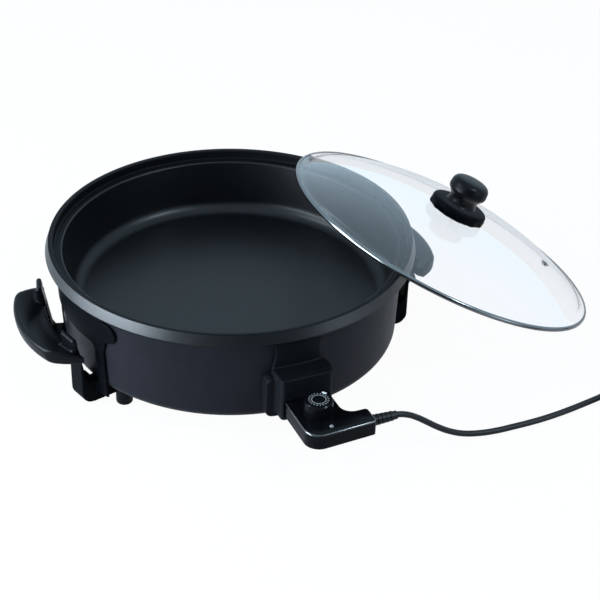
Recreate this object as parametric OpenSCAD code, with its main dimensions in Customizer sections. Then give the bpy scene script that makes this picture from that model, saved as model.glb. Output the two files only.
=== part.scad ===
// Electric pizza pan with a plug-in thermostat and a loose glass lid leaned on its rim.
// Millimetres, +Z up. The pan's axis is the Z axis, the table is Z = 0,
// the socket faces -Y and the two handles lie along +X and -X.

/* [Pan] */
// Diameter over the rolled rim
rim_d = 400; // [394:1:410]
// Height of the rim's top above the table
rim_h = 135; // [133:1:142]
// Width of the rolled rim
rim_w = 9; // [8:0.5:10]
// Height of the rim's outer face
rim_face_h = 14; // [12:0.5:15]
// Depth of the lid's ledge below the rim's top
ledge_depth = 10; // [8:0.5:11]
// Width of the lid's ledge
ledge_w = 9.5; // [9:0.5:11]
// Thickness of the cast pan
pan_t = 4; // [3:0.5:5]
// Height of the cooking floor above the table
floor_z = 65; // [64:1:68]
// Slope of the pan's wall from upright, in degrees
wall_draft = 7; // [5:0.5:8]
// Radius between the cooking floor and the wall
floor_fillet = 16; // [12:1:20]

/* [Housing] */
// Sheet thickness of the outer housing
housing_t = 1.2; // [1:0.1:1.6]
// Gap between the pan's wall and the housing at the rim
housing_gap = 1; // [0.8:0.1:1.5]
// How far the housing draws in from the rim to its bottom corner
housing_taper = 4.5; // [3:0.5:5.5]
// Radius of the housing's bottom corner
housing_corner = 12; // [9:1:14]
// Height of the housing's bottom above the table
base_z = 21; // [20:0.5:23]
// Width of the housing's turned-in bottom flange
flange_w = 20; // [17:1:22]
// Thickness of the bottom cover
cover_t = 1.5; // [1:0.1:2]
// Overlap of the bottom cover on the housing's flange
cover_overlap = 17; // [14:0.5:18]
// Diameter of the bosses that the cover is screwed to
boss_d = 10; // [9:0.5:12]
// Distance of the bosses from the pan's axis
boss_r = 143; // [141:1:144]
// Thread diameter of the cover screws
cover_screw_d = 4; // [3:0.5:4.5]
// Reach of a cover screw above the cover
cover_screw_reach = 10; // [8:0.5:11]
// Diameter of a round foot
foot_d = 18; // [16:1:20]
// Distance from the bottom cover's edge in to a round foot's axis
foot_inset = 2.74; // [2:0.01:6]
// Angle of a round foot from the handle's axis
foot_angle = 25.5; // [24:0.5:30]

/* [Heater] */
// Thickness of the heat spreader under the pan
spreader_t = 5; // [4:0.5:6]
// Radius of the heat spreader
spreader_r = 134; // [128:1:136]
// Diameter of the heating tube
tube_d = 8; // [7:0.5:9]
// Radius of the heating loop
loop_r = 112; // [100:1:118]
// Bend radius of the heating tube's ends
tube_bend = 15; // [12:1:18]
// Distance of each terminal pin from the middle plane
pin_x = 13; // [12.5:0.5:14]
// Diameter of a terminal pin
pin_d = 5; // [4:0.5:5.5]
// Diameter of the thermostat probe
probe_d = 6; // [5:0.5:7]
// Length of the probe that enters the pan
probe_in = 64; // [56:1:66]
// Width of the probe's sleeve block
sleeve_w = 15; // [12:0.5:16]

/* [Handles] */
// Thickness of the handle's plate on the wall
plate_t = 3; // [2.5:0.5:4]
// Height of the lower edge of the plate's top band
plate_low_z = 75; // [72:1:80]
// Half angle of the plate's top band
plate_angle = 25; // [24.5:0.5:26]
// Radius of the round ears of the plate
ear_r = 12; // [10:0.5:14]
// Tangential width of a leg strap
strap_w = 23; // [20:0.5:25]
// Angle of a leg strap from the handle's axis
strap_angle = 15; // [14:0.5:15.5]
// Thickness of a leg strap
strap_t = 5.5; // [5:0.5:7]
// Gap between the housing and a leg strap at mid height
strap_gap = 13; // [12:0.5:14.5]
// Height of a leg's foot above the bar under the base
foot_rise = 8; // [6:0.5:10]
// Radius of a leg strap's tip
tip_r = 3; // [2.5:0.1:3.5]
// Height of a leg strap's tip above the table
strap_top = 87; // [85:1:89]
// Radius of the leg's outer corner at the table
leg_corner = 14; // [12:1:16]
// Distance of the grip's outer edge from the pan's axis
grip_r = 241; // [236:1:246]
// Radius of the grip's outer arc
grip_arc = 140; // [130:1:150]
// Half length of the grip
grip_half = 75; // [72:1:80]
// Distance from the leg strap's outer face to the grip's finger edge
finger_step = 2.4; // [1:0.1:3.5]
// Height of the grip's outer top edge
grip_top = 78; // [76:1:80]
// Height of the grip's underside
grip_low = 60; // [58:1:62]
// Height of the crease along the grip
crease_z = 69; // [67:1:71]
// Distance of the crease from the grip's outer edge
crease_in = 26; // [22:1:28]
// Turn of the right handle towards the back
handle_turn = 5; // [0:0.5:6]
// Thread diameter of the handle screws
handle_screw_d = 4; // [3:0.5:5]

/* [Socket] */
// Half width of the socket box
box_half = 28; // [27.5:0.5:30]
// Distance of the socket's mouth from the pan's axis
box_front = 213; // [211:1:216]
// Height of the socket box's top
box_top = 86; // [84:1:90]
// Half width of the socket's wall flange
wing_half = 37; // [36:0.5:40]
// How far the socket's wall flange reaches below its box
wing_drop = 7; // [5:0.5:8]
// Half width of the plate under the rim
neck_half = 27; // [25:0.5:27.5]
// Depth of the plate's waist
waist_depth = 2.5; // [1.5:0.5:4]

/* [Controller] */
// Thickness of the controller
body_h = 17; // [16:0.5:18]
// Half width of the controller's stem
stem_half = 24.5; // [23:0.5:25]
// Distance of the controller's front edge from the pan's axis
body_front = 277.5; // [276:0.5:282]
// End of the controller's arm, measured from the middle plane
arm_end = 49.5; // [48:0.5:54]
// Width of the arm at its end
arm_w = 24; // [22:0.5:26]
// Taper of the arm's front edge along the arm
arm_taper = 3; // [2:0.5:5]
// Radius of the controller's front left corner
nose_r = 16; // [14:0.5:18]
// Radius of the hollow between stem and arm
hollow_r = 13; // [10:0.5:14]
// Wall thickness of the controller's shells
shell_t = 2; // [1.6:0.1:2.4]
// Diameter of the dial
dial_d = 29; // [26:0.5:31]
// Height of the dial above the controller
dial_h = 16; // [14:0.5:18]
// Distance from the socket box out to the dial's edge
dial_gap = 13; // [11.5:0.5:15]
// Diameter of the dial's shaft
shaft_d = 6; // [5:0.5:7]
// Diameter of the pilot lamp's lens
lens_d = 4.5; // [4:0.5:6]

/* [Cord] */
// Diameter of the cord
cord_d = 6.5; // [6:0.1:6.8]
// Length of the strain relief outside the controller
relief_l = 27; // [24:1:30]
// Largest diameter of the strain relief
relief_d = 12; // [11:0.5:13]
// Number of ribs on the strain relief
relief_ribs = 5; // [4:1:6]
// Radius of the coil's outer loop
coil_r = 43; // [42:0.5:46]
// Distance between loops side by side
loop_step = 8.2; // [7.9:0.1:8.6]
// Distance between the coil's layers
layer_step = 7.2; // [7.1:0.1:8]
// Diameter of the mains plug
plug_d = 36; // [34:1:38]
// Length of the mains plug's body
plug_l = 46; // [42:1:50]
// Diameter of a mains plug pin
plug_pin_d = 4.8; // [4:0.1:5]
// Length of a mains plug pin
plug_pin_l = 19; // [18:0.5:20]
// Distance between the mains plug's pins
plug_pitch = 19; // [18:0.5:20]

/* [Lid] */
// Diameter over the lid's steel band
lid_d = 370; // [366:0.5:376]
// Height of the glass dome over the band
dome_h = 33; // [32:1:38]
// How flat the dome's middle is
dome_power = 2.8; // [2.6:0.1:3.2]
// Thickness of the glass
glass_t = 4; // [3.5:0.5:5]
// Height of the steel band
band_h = 6; // [5.5:0.5:7]
// Sheet thickness of the steel band
band_t = 1; // [0.8:0.1:1.2]
// Tilt of the leaned lid
lid_tilt = 26.4; // [25.4:0.2:27]
// Direction in which the lid leans away, from +X
lid_dir = -3.6; // [-6:0.2:6]
// Diameter of the knob's skirt
skirt_d = 66; // [60:1:70]
// Height of the knob's skirt
skirt_h = 13; // [11:0.5:15]
// Diameter of the knob's neck
knob_neck_d = 34; // [30:1:37]
// Diameter of the knob's cap
knob_d = 45; // [40:1:50]
// Height of the knob above its skirt
knob_h = 29; // [27:1:32]
// Thread diameter of the knob's screw
knob_screw_d = 5; // [4:0.5:6]
// Distance of the steam vent from the lid's middle
vent_r = 122; // [110:1:130]
// Direction of the steam vent on the lid
vent_dir = -20; // [-40:1:40]
// Diameter of the steam vent
vent_d = 6; // [5:0.5:8]

/* [Fits] */
// Gap between pieces that are seated on each other
seat_gap = 0.2; // [0.1:0.05:0.3]
// Gap around a screw or pin in its hole
hole_gap = 0.2; // [0.1:0.05:0.3]
// Radial gap of a turning shaft
shaft_gap = 0.08; // [0.05:0.01:0.1]
// Gap around the controller's stem in the socket
stem_gap = 0.5; // [0.4:0.1:0.8]

/* [Hidden] */
$fn = 96;

// Points of an arc in a plane, both ends included
function arc(cx, cy, r, a0, a1, n = 8) =
    [for (i = [0:n]) let (a = a0 + (a1 - a0) * i / n) [cx + r * cos(a), cy + r * sin(a)]];

// Outline of a rectangle with round corners, from its two corners
function round_box(x0, y0, x1, y1, r) = concat(
    arc(x1 - r, y0 + r, r, -90, 0, 6), arc(x1 - r, y1 - r, r, 0, 90, 6),
    arc(x0 + r, y1 - r, r, 90, 180, 6), arc(x0 + r, y0 + r, r, 180, 270, 6));

// Pan: heights and radii that its neighbours follow
rim_r = rim_d / 2;
rim_in = rim_r - rim_w;
// Rim: a flat top with a rounded inner edge, and a conical band down its outside
rim_round = 1.4;
band_in = 3.6;
band_drop = 11;
lip_r = rim_in - ledge_w;
ledge_z = rim_h - ledge_depth;
rim_under = rim_h - rim_face_h;
floor_under = floor_z - pan_t;
fillet_z = floor_z + floor_fillet;
fillet_r = lip_r - (ledge_z - fillet_z) * tan(wall_draft) - floor_fillet / cos(wall_draft);
function pan_out(z) = lip_r + pan_t / cos(wall_draft) - (ledge_z - z) * tan(wall_draft);
lip_round = 1.2;
rim_lean = 1.5;

// Housing: its outer radius falls along a straight line down to the bottom corner
housing_top = rim_under - seat_gap;
housing_top_r = pan_out(rim_under) + housing_gap + housing_t;
corner_z = base_z + housing_corner;
housing_low_r = housing_top_r - housing_taper;
flange_r = housing_low_r - housing_corner;
function housing_r(z) = housing_low_r + housing_taper * (z - corner_z) / (housing_top - corner_z);
cover_r = flange_r - flange_w + cover_overlap;
cover_low = base_z - cover_t;
foot_r = cover_r - foot_inset;

// Heater and terminals, all on one level with the controller's middle
tube_z = floor_under - spreader_t - tube_d / 2;
lead_angle = asin((pin_x + tube_bend) / (loop_r + tube_bend));
lead_y = -(loop_r + tube_bend) * cos(lead_angle);
terminal_y = -housing_r(tube_z) + 8;
sleeve_h = 2 * (floor_under - spreader_t - tube_z);
window_half = pin_x + pin_d / 2 + 4;
window_h = body_h + 2;

// Controller levels
body_top = tube_z + body_h / 2;
body_low = tube_z - body_h / 2;
plug_depth = 18;
stem_back = box_front - plug_depth;
dial_r = box_front + dial_gap + dial_d / 2;
arm_back = body_front - arm_taper - arm_w;
cord_y = -(arm_back + arm_w / 2);
probe_tip = -housing_r(tube_z) + probe_in;
mouth_low = body_low - stem_gap;
mouth_top = body_top + stem_gap;
box_low = mouth_low - 5;

// Handle levels
strap_in_r = housing_r(40) + strap_gap;
grip_in_r = strap_in_r + strap_t + finger_step;
bar_top = cover_low - seat_gap;
bar_in_r = flange_r - flange_w / 2 - 6;
screw_r = flange_r - flange_w / 2 + 2;
screw_angles = [handle_turn + strap_angle, handle_turn - strap_angle,
    180 + strap_angle, 180 - strap_angle];
foot_angles = [handle_turn + foot_angle, handle_turn - foot_angle,
    180 + foot_angle, 180 - foot_angle];
boss_angles = [45, 135, 225, 315];
head_h = 3;

// Lid: the band's lowest edge stands on the table and the band lies on the rim at two points
lid_r = lid_d / 2;
glass_edge_r = lid_r - band_t - seat_gap / 2;
band_round = 1.2;
lean_gap = 0.2;
lean_rest = band_h / 2 + 2.25;
lid_lift = (lid_r - band_round) * sin(lid_tilt) + band_h / 2 * cos(lid_tilt) + lean_gap;
lean_rise = rim_h + lean_rest - lid_lift;
lean_cos = -lean_rise / (lid_r * sin(lid_tilt));
lean_y = lid_r * sqrt(1 - lean_cos * lean_cos);
lean_rim_r = rim_r - rim_w / 2;
lid_out = sqrt(lean_rim_r * lean_rim_r - lean_y * lean_y) - lid_r * cos(lid_tilt) * lean_cos;
dome_edge_r = glass_edge_r - 5;
dome_edge_z = glass_t / 2;
dome_rise = dome_h - dome_edge_z;
function dome_z(r) = dome_h - dome_rise * pow(r / dome_edge_r, dome_power);
vent_slope = atan(dome_rise * dome_power / dome_edge_r * pow(vent_r / dome_edge_r, dome_power - 1));

// Cord: hand-chosen points of the free stretch, then the coil and the tail to the plug
coil_x = 365;
coil_y = -296;
coil_z = 4.8;
coil_in_turns = 2;
coil_climb = 0.5;
coil_out_turns = 1.5;
coil_turns = coil_in_turns + coil_climb + coil_out_turns;
coil_inner = coil_r - loop_step * coil_in_turns;
coil_end_r = coil_inner + loop_step * coil_out_turns;
lead_end_y = coil_y + coil_r;
lead_route = [
    [38, cord_y, tube_z], [58, cord_y, tube_z], [78, cord_y, tube_z], [89, cord_y, tube_z - 3.3],
    [100, cord_y, tube_z - 9.6], [112, -263, 33.6], [125, -264, 24], [139, -265, 15.5],
    [154, -266, 9.2], [173, -267, 5.1], [192, -268, 3.6], [213, -268.5, 3.5], [236, -268.5, 3.5],
    [260, -267, 3.5], [284, -264, 3.6], [306, -260.5, 3.9], [326, -257, 4.3],
    [344, lead_end_y + 0.6, 4.7], [357, lead_end_y, coil_z], [coil_x, lead_end_y, coil_z]
];
tail_y = coil_y + coil_end_r;
tail_z = coil_z + layer_step;
plug_z = plug_d / 2 + 0.5;
plug_x = 446;
plug_y = -212;
tail_route = [
    [coil_x, tail_y, tail_z], [coil_x + cord_d, tail_y, tail_z], [386, -256.8, 12.3], [401, -255.6, 13],
    [415, -252.2, 14], [427, -246.2, 15.2], [436, -238, 16.5], [442, -228.8, 17.7],
    [plug_x, plug_y - cord_d, plug_z], [plug_x, plug_y, plug_z]
];

// Coil's centre line: in by two turns, up a layer in half a turn, and out again
function coil_radius(t) =
    t < coil_in_turns ? coil_r - loop_step * t :
    t < coil_in_turns + coil_climb ? coil_inner :
    coil_inner + loop_step * (t - coil_in_turns - coil_climb);
function coil_height(t) =
    coil_z + layer_step * min(1, max(0, (t - coil_in_turns) / coil_climb));
function coil_point(t) = [
    coil_x + coil_radius(t) * cos(90 - 360 * t),
    coil_y + coil_radius(t) * sin(90 - 360 * t),
    coil_height(t)];
rings_per_loop = 24;
coil_rings = coil_turns * rings_per_loop;
coil_route = [for (i = [0:coil_rings]) coil_point(i / rings_per_loop)];
coil_gap = min([for (i = [0:coil_rings - rings_per_loop / 2])
    for (j = [i + rings_per_loop / 2:coil_rings]) norm(coil_route[i] - coil_route[j])]) - cord_d;
echo(least_coil_gap = coil_gap);
function route_length(p) = len(p) < 2 ? 0 : norm_sum(p, 0, 0);
function norm_sum(p, i, s) = i + 1 >= len(p) ? s : norm_sum(p, i + 1, s + norm(p[i + 1] - p[i]));
echo(cord_length = route_length(lead_route) + route_length(coil_route) + route_length(tail_route));

// A round cord swept along a route, with its rings square to the path and its end ways given
module cord_tube(route, d, sides, first_way, last_way) {
    last = len(route) - 1;
    ways = [for (i = [0:last])
        let (a = route[max(0, i - 1)], b = route[min(last, i + 1)])
        i == 0 ? first_way : i == last ? last_way : (b - a) / norm(b - a)];
    points = [for (i = [0:last])
        let (w = ways[i], s = cross(w, [0, 0, 1]) / norm(cross(w, [0, 0, 1])), u = cross(s, w))
        for (k = [0:sides - 1])
        route[i] + d / 2 * (cos(360 * k / sides) * s + sin(360 * k / sides) * u)];
    walls = [for (i = [0:last - 1]) for (k = [0:sides - 1])
        let (a = i * sides + k, b = i * sides + (k + 1) % sides)
        each [[a, a + sides, b], [b, a + sides, b + sides]]];
    start = [for (k = [1:sides - 2]) [0, k, k + 1]];
    end = [for (k = [1:sides - 2]) [last * sides, last * sides + k + 1, last * sides + k]];
    polyhedron(points, concat(walls, start, end));
}

// Places children on a circle about the pan's axis
module around(angles, r) {
    for (a = angles) rotate([0, 0, a]) translate([r, 0, 0]) children();
}

// Cylinder along -Y from one distance to another, at the heater's level unless told
module along_y(x, y0, y1, d, z = tube_z) {
    translate([x, max(y0, y1), z]) rotate([90, 0, 0]) cylinder(d = d, h = abs(y1 - y0));
}

// Solid out to a distance from the housing's wall, between two heights
module wall_solid(z0, z1, out) {
    rotate_extrude() polygon([
        [0, z0], [housing_r(z0) + out, z0], [housing_r(z1) + out, z1], [0, z1]]);
}

module pan_profile() {
    polygon(concat(
        [[0, floor_z]],
        arc(fillet_r, fillet_z, floor_fillet, -90, -wall_draft),
        [[lip_r - lip_round * tan(wall_draft), ledge_z - lip_round], [lip_r + lip_round, ledge_z]],
        [[rim_in - lip_round, ledge_z], [rim_in, ledge_z + lip_round]],
        arc(rim_in + rim_round, rim_h - rim_round, rim_round, 180, 90, 4),
        [[rim_r - band_in, rim_h], [rim_r, rim_h - band_drop]],
        [[rim_r - rim_lean, rim_under], [pan_out(rim_under), rim_under]],
        arc(fillet_r, fillet_z, floor_fillet + pan_t, -wall_draft, -90),
        [[0, floor_under]]));
}

module pan() {
    color("#2a2b2e") difference() {
        union() {
            rotate_extrude() pan_profile();
            around(boss_angles, boss_r) translate([0, 0, base_z])
                cylinder(d = boss_d, h = floor_under - base_z + pan_t / 2);
        }
        around(boss_angles, boss_r) translate([0, 0, base_z - 1])
            cylinder(d = cover_screw_d + 2 * hole_gap, h = 15);
    }
}

module housing_profile() {
    polygon(concat(
        [[housing_top_r, housing_top]],
        arc(flange_r, corner_z, housing_corner, 0, -90),
        [[flange_r - flange_w, base_z], [flange_r - flange_w, base_z + housing_t]],
        arc(flange_r, corner_z, housing_corner - housing_t, -90, 0),
        [[housing_top_r - housing_t, housing_top]]));
}

module housing() {
    color("#34343f") difference() {
        rotate_extrude() housing_profile();
        translate([-window_half, -housing_top_r - 1, tube_z - window_h / 2])
            cube([2 * window_half, 2 * housing_taper + 20, window_h]);
        around(screw_angles, screw_r) translate([0, 0, base_z - 1])
            cylinder(d = handle_screw_d + 2 * hole_gap, h = 5);
        for (x = bracket_screw_xs) along_y(x, -housing_top_r - 5, -housing_top_r + 25,
            bracket_screw_d + 2 * hole_gap, bracket_screw_z);
    }
}

module bottom_cover() {
    ring_r = cover_r - 60;
    color("#55565a") difference() {
        union() {
            translate([0, 0, cover_low]) cylinder(r = cover_r, h = cover_t);
            rotate_extrude() translate([ring_r, cover_low - 1]) square([14, 1]);
        }
        around(boss_angles, boss_r) translate([0, 0, cover_low - 1])
            cylinder(d = cover_screw_d + 2 * hole_gap, h = cover_t + 2);
        around(screw_angles, screw_r) translate([0, 0, cover_low - 1])
            cylinder(d = handle_screw_d + 2 * hole_gap, h = cover_t + 2);
    }
}

module cover_screws() {
    color("silver") around(boss_angles, boss_r) {
        translate([0, 0, cover_low - head_h]) cylinder(d = 2 * cover_screw_d, h = head_h);
        translate([0, 0, cover_low - head_h / 2])
            cylinder(d = cover_screw_d, h = cover_t + cover_screw_reach + head_h / 2);
    }
}

// Round feet under the cover, domed at the table
module base_feet() {
    edge = foot_d / 6;
    color("#1b1b1d") around(foot_angles, foot_r) rotate_extrude()
        polygon(concat([[0, 0]], arc(foot_d / 2 - edge, edge, edge, -90, 0, 5),
            [[foot_d / 2, cover_low], [0, cover_low]]));
}

module heat_spreader() {
    color("#9a9a9c") translate([0, 0, floor_under - spreader_t]) cylinder(r = spreader_r, h = spreader_t);
}

// One bent steel tube: the loop, two slightly drawn bends and two straight ends
module heating_element() {
    bend_d = tube_d - 0.4;
    lap = 3;
    color("#8b8378") {
        translate([0, 0, tube_z]) rotate([0, 0, lead_angle - 90])
            rotate_extrude(angle = 360 - 2 * lead_angle) translate([loop_r, 0]) circle(d = tube_d);
        for (side = [0, 1]) mirror([side, 0, 0]) {
            translate([pin_x + tube_bend, lead_y, tube_z]) rotate([0, 0, 90 + lead_angle - lap])
                rotate_extrude(angle = 90 - lead_angle + 2 * lap) translate([tube_bend, 0]) circle(d = bend_d);
            along_y(pin_x, lead_y, terminal_y, tube_d);
        }
    }
}

module terminal_pins() {
    color("#c9c4b4") for (x = [-pin_x, pin_x]) {
        along_y(x, terminal_y, -box_front + 6, pin_d);
    }
}

module probe_sleeve() {
    color("#9a9a9c") difference() {
        translate([-sleeve_w / 2, probe_tip - probe_in + 4, tube_z - sleeve_h / 2])
            cube([sleeve_w, probe_in + 6, sleeve_h]);
        along_y(0, probe_tip - probe_in, probe_tip + 1, probe_d + 2 * hole_gap);
    }
}

// Spring strip on the floor of the socket's mouth
module earth_strip() {
    strip_w = 2 * (pin_x - pin_d);
    color("#c0b070") translate([-strip_w / 2, -box_front + 3, mouth_low])
        cube([strip_w, plug_depth - 5, stem_gap / 2]);
}

// Handle along +X: wall plate with ears and posts, two J-shaped legs and the grip
post_angle = 19.4;
post_span = 4.4;
ear_angle = plate_angle + 1;
foot_top = bar_top + foot_rise;
plate_top = housing_top - 1;
plate_mid_r = housing_low_r + plate_t;
ear_z = (plate_low_z + housing_top) / 2;
function plate_y(a) = plate_mid_r * sin(a);
module plate_outline() {
    post_in = plate_y(post_angle);
    post_out = plate_y(post_angle + post_span);
    tie_in = plate_y(strap_angle);
    low = bar_top * 0.64;
    tie_top = foot_top - 2.5;
    corner = 7;
    half = [[tie_in, low], [post_out, low], [post_out, plate_low_z - 4],
        [plate_y(plate_angle), plate_low_z + 5], [plate_y(plate_angle), plate_top]];
    polygon(concat(
        half, [for (i = [4:-1:0]) [-half[i][0], half[i][1]]],
        [[-tie_in, tie_top], [-post_in, tie_top]],
        arc(corner - post_in, plate_low_z - corner, corner, 180, 90, 5),
        arc(post_in - corner, plate_low_z - corner, corner, 90, 0, 5),
        [[post_in, tie_top], [tie_in, tie_top]]));
}

module wall_plate() {
    start_x = housing_low_r - 40;
    difference() {
        intersection() {
            wall_solid(bar_top / 4, plate_top + 1, seat_gap + plate_t);
            union() {
                translate([start_x, 0, 0]) rotate([90, 0, 90]) linear_extrude(90) plate_outline();
                for (side = [-1, 1]) translate([start_x, side * plate_y(ear_angle), ear_z])
                    rotate([0, 90, 0]) cylinder(r = ear_r, h = 90);
            }
        }
        wall_solid(bar_top / 5, plate_top + 2, seat_gap);
    }
}

tip_lean = 10;
module leg_profile() {
    out_r = strap_in_r + strap_t;
    foot_in_r = housing_low_r + plate_t / 2;
    polygon(concat(
        [[bar_in_r, 0]],
        arc(out_r - leg_corner, leg_corner, leg_corner, -90, 0, 10),
        [[out_r + 0.5, grip_low - 6], [out_r + tip_lean, grip_low + 4]],
        arc(out_r + tip_lean - tip_r, strap_top - tip_r, tip_r, 0, 180, 6),
        [[strap_in_r + 0.3, foot_top + 6], [strap_in_r - 3, foot_top]],
        [[foot_in_r, foot_top], [foot_in_r, bar_top], [bar_in_r, bar_top]]));
}

module grip() {
    arc_x = grip_r - grip_arc;
    reach = grip_half * 0.82;
    difference() {
        intersection() {
            translate([arc_x, 0, 0]) rotate([0, 0, -45]) rotate_extrude(angle = 90) polygon([
                [grip_arc - 2, grip_low + 2], [grip_arc, grip_top - 3], [grip_arc - 3, grip_top],
                [grip_arc - crease_in, crease_z], [grip_in_r - arc_x - 40, crease_z - 3],
                [grip_in_r - arc_x - 40, grip_low], [grip_arc - 5, grip_low]]);
            translate([grip_r - reach, 0, grip_low - 1]) cylinder(r = grip_half, h = grip_top);
        }
        translate([0, 0, grip_low - 2]) cylinder(r = grip_in_r, h = grip_top);
    }
}

module handle() {
    difference() {
        union() {
            wall_plate();
            for (side = [0, 1]) mirror([0, side, 0])
                rotate([0, 0, strap_angle]) translate([0, strap_w / 2, 0]) rotate([90, 0, 0])
                    linear_extrude(strap_w) leg_profile();
            grip();
        }
        for (a = [strap_angle, -strap_angle]) rotate([0, 0, a]) translate([screw_r, 0, -1]) {
            cylinder(d = handle_screw_d + 2 * hole_gap, h = bar_top + 3);
            cylinder(d = 2 * handle_screw_d + 1, h = head_h + 2.5);
        }
    }
}

module right_handle() {
    color("#141416") rotate([0, 0, handle_turn]) handle();
}

module left_handle() {
    color("#141416") rotate([0, 0, 180]) handle();
}

module handle_screws() {
    color("silver") around(screw_angles, screw_r) {
        translate([0, 0, 1.5]) cylinder(d = 2 * handle_screw_d, h = head_h);
        translate([0, 0, 2.5]) cylinder(d = handle_screw_d, h = base_z + housing_t + 3);
    }
}

module handle_nuts() {
    color("silver") around(screw_angles, screw_r) translate([0, 0, base_z + housing_t]) difference() {
        cylinder(d = 2 * handle_screw_d, h = handle_screw_d * 0.8, $fn = 6);
        translate([0, 0, -1]) cylinder(d = handle_screw_d + hole_gap, h = 10);
    }
}

// Socket: waisted plate under the rim, flange on the wall and a box around the pins
bracket_screw_d = 4;
bracket_screw_z = box_low + 8;
bracket_screw_xs = [-wing_half + 5.5, wing_half - 5.5];
wing_t = 13;
pilot_l = 9;
wing_low = box_low - wing_drop;
wing_top = box_top - 6;
neck_top = housing_top - 1;
module neck_outline() {
    half = (neck_top - box_top) / 2 - 4;
    waist_r = (half * half + waist_depth * waist_depth) / (2 * waist_depth);
    waist_x = neck_half + waist_r - waist_depth;
    waist_z = (neck_top + box_top) / 2;
    a = asin(half / waist_r);
    polygon(concat(
        [[neck_half, neck_top]],
        arc(waist_x, waist_z, waist_r, 180 - a, 180 + a, 6),
        [[neck_half, wing_top - 6], [-neck_half, wing_top - 6]],
        arc(-waist_x, waist_z, waist_r, -a, a, 6),
        [[-neck_half, neck_top]]));
}

// Extrudes an outline drawn in X and Z through the wall at the socket
module through_wall() {
    translate([0, -housing_low_r + 25, 0]) rotate([90, 0, 0]) linear_extrude(60) children();
}

module socket_bracket() {
    color("#141416") difference() {
        union() {
            intersection() {
                wall_solid(wing_top - 10, neck_top + 1, seat_gap + plate_t);
                through_wall() neck_outline();
            }
            intersection() {
                wall_solid(wing_low - 1, wing_top + 1, seat_gap + wing_t);
                through_wall() polygon(round_box(-wing_half, wing_low, wing_half, wing_top, 7));
            }
            translate([0, 0, box_low]) linear_extrude(box_top - box_low)
                polygon(round_box(-box_half, -box_front, box_half, -housing_low_r + 12, 4));
        }
        wall_solid(wing_low - 2, neck_top + 2, seat_gap);
        translate([-stem_half - stem_gap, -box_front - 1, mouth_low])
            cube([2 * (stem_half + stem_gap), plug_depth + 1 + stem_gap, mouth_top - mouth_low]);
        for (x = [-pin_x, pin_x]) along_y(x, -box_front, -housing_low_r + 10, pin_d + 2 * hole_gap);
        along_y(0, -box_front, -housing_low_r + 10, probe_d + 2 * hole_gap);
        for (x = bracket_screw_xs) along_y(x, wall_y(x, bracket_screw_z) - pilot_l, -housing_low_r + 10,
            bracket_screw_d + 2 * hole_gap, bracket_screw_z);
    }
}

// Screws from inside the housing into the flange's ends, each with a washer under its head
function wall_y(x, z) = -sqrt(pow(housing_r(z), 2) - x * x);
washer_in = housing_t + 0.9;
module bracket_screws() {
    color("silver") for (x = bracket_screw_xs) {
        inside = wall_y(x, bracket_screw_z) + washer_in;
        along_y(x, inside + 1, inside + 3.4, 2 * bracket_screw_d, bracket_screw_z);
        along_y(x, inside + 2, inside - washer_in - pilot_l + 1, bracket_screw_d, bracket_screw_z);
    }
}

module bracket_washers() {
    color("silver") for (x = bracket_screw_xs) {
        inside = wall_y(x, bracket_screw_z) + washer_in;
        difference() {
            along_y(x, inside, inside + 1, 2.2 * bracket_screw_d, bracket_screw_z);
            along_y(x, inside - 1, inside + 2, bracket_screw_d + hole_gap, bracket_screw_z);
        }
    }
}

// Controller: an L-shaped body seen from above, drawn inset by e all round
module body_outline(e) {
    front = -body_front;
    end_front = front + arm_taper;
    back = -arm_back;
    corner = 4;
    polygon(concat(
        [[stem_half - e, -stem_back - e], [-stem_half + e, -stem_back - e]],
        arc(-stem_half + nose_r, front + nose_r, nose_r - e, 180, 270, 8),
        arc(arm_end - corner, end_front + corner, corner - e, -80, 0, 4),
        arc(arm_end - corner, back - corner, corner - e, 0, 90, 4),
        arc(stem_half + hollow_r, back + hollow_r, hollow_r + e, 270, 180, 8)));
}

boss_places = [
    [-stem_half + shell_t + 4, -dial_r + 9], [stem_half - shell_t - 4, -dial_r + 9],
    [arm_end - 9.5, -arm_back - shell_t - 3.2]];
shell_screw_d = 2.5;
rib_ys = [-stem_back - 10, -stem_back - 20];
rib_t = 2;
lens_place = [3, -dial_r - 26];
relief_neck_d = cord_d + 2.6;

// What both shells leave open: pins, probe and the cord's entry
module shell_openings() {
    for (x = [-pin_x, pin_x])
        along_y(x, -stem_back + 1, -stem_back - shell_t - 0.5, pin_d + 1);
    for (x = [-pin_x, pin_x]) along_y(x, -stem_back - shell_t, -stem_back - 23, contact_d + 2 * hole_gap);
    along_y(0, -stem_back + 1, -stem_back - 23, probe_d + 2 * hole_gap);
    translate([arm_end - shell_t - 1, cord_y, tube_z]) rotate([0, 90, 0])
        cylinder(d = relief_neck_d + 2 * hole_gap, h = shell_t + 2);
}

module controller_lower_shell() {
    color("#0f0f11") difference() {
        union() {
            translate([0, 0, body_low]) linear_extrude(shell_t) body_outline(0);
            difference() {
                translate([0, 0, body_low]) linear_extrude(tube_z - body_low) body_outline(0);
                translate([0, 0, body_low - 1]) linear_extrude(body_h) body_outline(shell_t);
            }
            for (p = boss_places) translate([p[0], p[1], body_low]) cylinder(d = 7, h = tube_z - body_low);
            for (y = rib_ys) translate([-stem_half + 1, y - rib_t, body_low + 1])
                cube([2 * stem_half - 2, rib_t, tube_z - body_low - 1]);
        }
        shell_openings();
        for (p = boss_places) translate([p[0], p[1], body_low - 1]) {
            cylinder(d = shell_screw_d + 2 * hole_gap, h = body_h);
            cylinder(d = 2 * shell_screw_d + 0.6, h = 3.2);
        }
    }
}

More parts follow.
